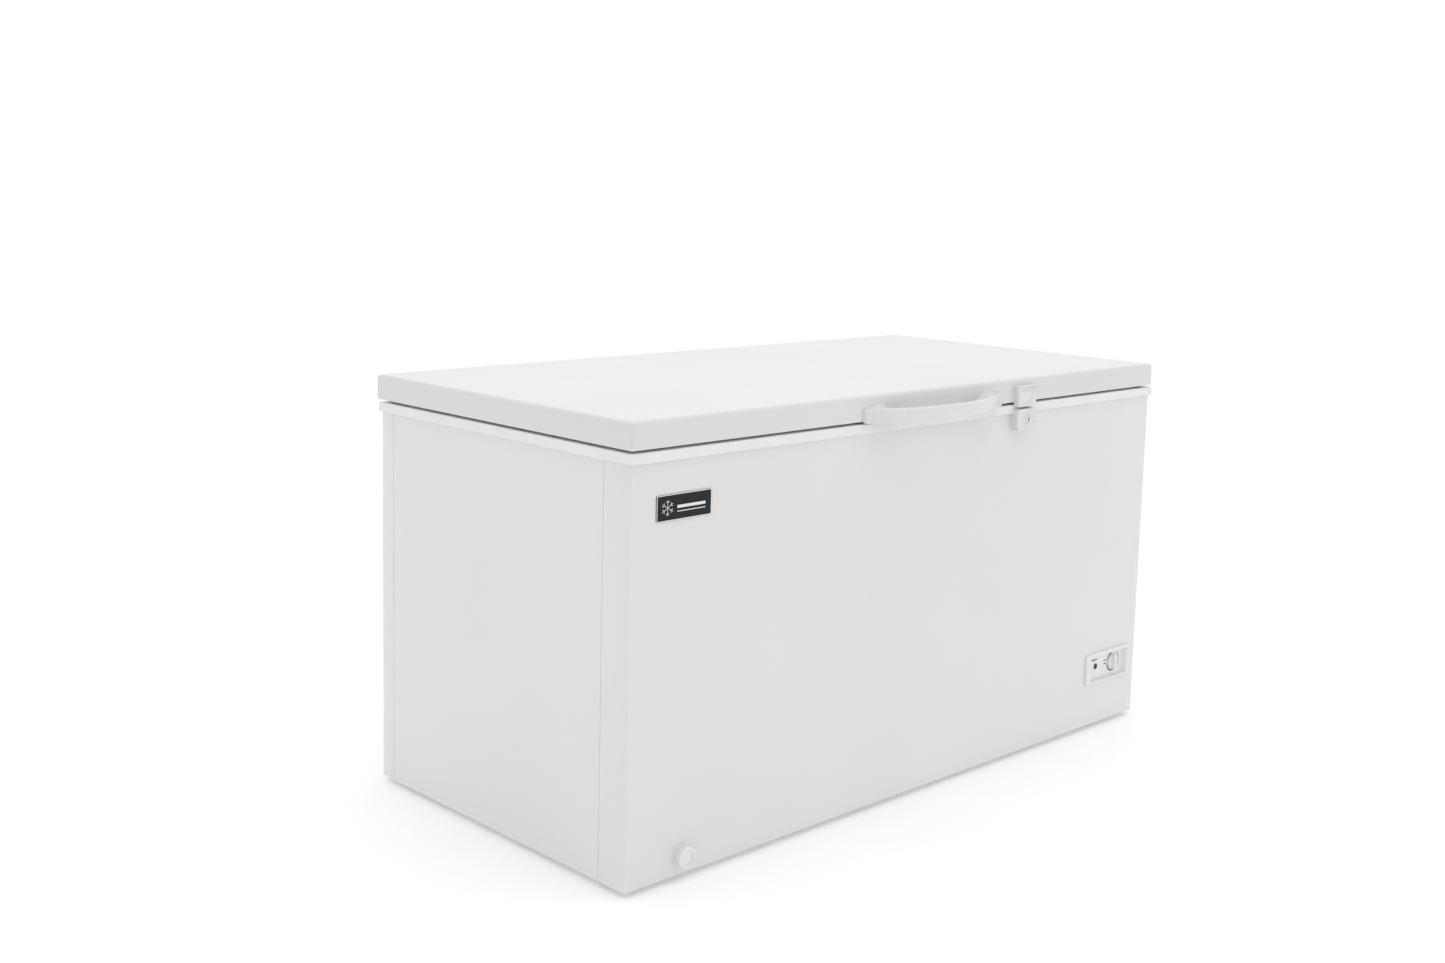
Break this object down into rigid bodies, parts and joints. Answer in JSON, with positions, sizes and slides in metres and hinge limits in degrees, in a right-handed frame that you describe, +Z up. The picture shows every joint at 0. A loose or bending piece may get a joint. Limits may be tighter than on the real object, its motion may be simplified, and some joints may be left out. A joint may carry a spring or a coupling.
{
  "type": "chest freezer",
  "caption": "Long low chest freezer with a solid lid hinged at the rear, a bowed front handle, a hasp lock, a front dial panel and a drain outlet.",
  "frame": {"origin": "On the floor, at the middle of the overall width and of the overall depth, handle and hinges included.", "axes": "+X to the right of someone facing the front, -Y out of the front where the handle is, +Z up."},
  "size_m": [1.505, 0.824, 0.795],
  "materials": {
    "white_enamel": "gloss",
    "lid_enamel": "gloss",
    "zinc_sheet": "satin",
    "liner_sheet": "satin",
    "pu_foam": "matte",
    "trim_plastic": "gloss",
    "lid_lining": "satin",
    "seal": "matte",
    "handle_plastic": "gloss",
    "lock_plastic": "gloss",
    "lock_metal": "polished",
    "badge_face": "gloss",
    "panel_plastic": "satin",
    "knob_plastic": "satin",
    "lamp_lens": "gloss",
    "switch_plastic": "matte",
    "black_enamel": "satin",
    "black_rubber": "matte",
    "copper": "satin",
    "tube_metal": "satin",
    "drain_plastic": "gloss",
    "bung_rubber": "matte",
    "basket_coating": "gloss",
    "hinge_metal": "satin",
    "foot_plastic": "matte",
    "grille_plastic": "matte"
  },
  "bodies": {
    "cabinet": {"badge_plate": "badge_face", "bay_roof": "zinc_sheet", "bay_wall": "zinc_sheet", "bottom_plate": "zinc_sheet", "compressor": "black_enamel", "compressor_grommets": "black_rubber", "compressor_plate": "zinc_sheet", "condenser_coil": "tube_metal", "control_bezel": "panel_plastic", "cord_gland": "switch_plastic", "drain_collar": "drain_plastic", "drain_tube": "drain_plastic", "evaporator_coil": "tube_metal", "filter_dryer": "copper", "foam_insulation": "pu_foam", "front_panel": "white_enamel", "glide_feet": "foot_plastic", "hinge_base_left": "hinge_metal", "hinge_base_right": "hinge_metal", "hinge_pins": "hinge_metal", "hinge_springs": "hinge_metal", "indicator_lens": "lamp_lens", "liner_floor": "liner_sheet", "liner_front": "liner_sheet", "liner_left": "liner_sheet", "liner_rear": "liner_sheet", "liner_right": "liner_sheet", "liner_step_side": "liner_sheet", "liner_step_top": "liner_sheet", "lock_body": "lock_plastic", "rear_panel": "white_enamel", "refrigerant_lines": "copper", "relay_cover": "switch_plastic", "side_panel_left": "white_enamel", "side_panel_right": "white_enamel", "thermostat_body": "switch_plastic", "trim_front": "trim_plastic", "trim_left": "trim_plastic", "trim_rear": "trim_plastic", "trim_right": "trim_plastic", "vent_grille": "grille_plastic"},
    "lid": {"lid_shell": "lid_enamel", "lid_foam": "pu_foam", "lid_liner": "lid_lining", "lid_gasket": "seal", "handle_bow": "handle_plastic", "handle_cap_left": "handle_plastic", "handle_cap_right": "handle_plastic", "handle_screws": "hinge_metal", "hasp": "lock_plastic", "hinge_leaf_left": "hinge_metal", "hinge_leaf_right": "hinge_metal"},
    "control_knob": {"thermostat_knob": "knob_plastic", "thermostat_spindle": "hinge_metal"},
    "lock_barrel": {"lock_cylinder": "lock_plastic", "lock_cam": "lock_metal"},
    "outlet_cap": {"drain_cap": "drain_plastic"},
    "floor_bung": {"drain_bung": "bung_rubber"},
    "basket": {"wire_basket": "basket_coating"}
  },
  "joints": [
    {"name": "lid_hinge", "type": "hinge", "parent": "cabinet", "child": "lid", "pos_m": [0, 0.403, 0.7525], "axis": [-1, 0, 0], "range_deg": [0, 80]},
    {"name": "dial_turn", "type": "hinge", "parent": "cabinet", "child": "control_knob", "pos_m": [0.669, -0.345, 0.137], "axis": [0, -1, 0], "range_deg": [-140, 140]},
    {"name": "key_turn", "type": "hinge", "parent": "cabinet", "child": "lock_barrel", "pos_m": [0.284, -0.358, 0.7135], "axis": [0, 1, 0], "range_deg": [0, 90]},
    {"name": "outlet_cap_pull", "type": "slide", "parent": "cabinet", "child": "outlet_cap", "axis": [0, -1, 0], "range_m": [0, 0.03]},
    {"name": "floor_bung_lift", "type": "slide", "parent": "cabinet", "child": "floor_bung", "axis": [0, 0, 1], "range_m": [0, 0.04]},
    {"name": "basket_slide", "type": "slide", "parent": "cabinet", "child": "basket", "axis": [-1, 0, 0], "range_m": [0, 1.03]}
  ]
}
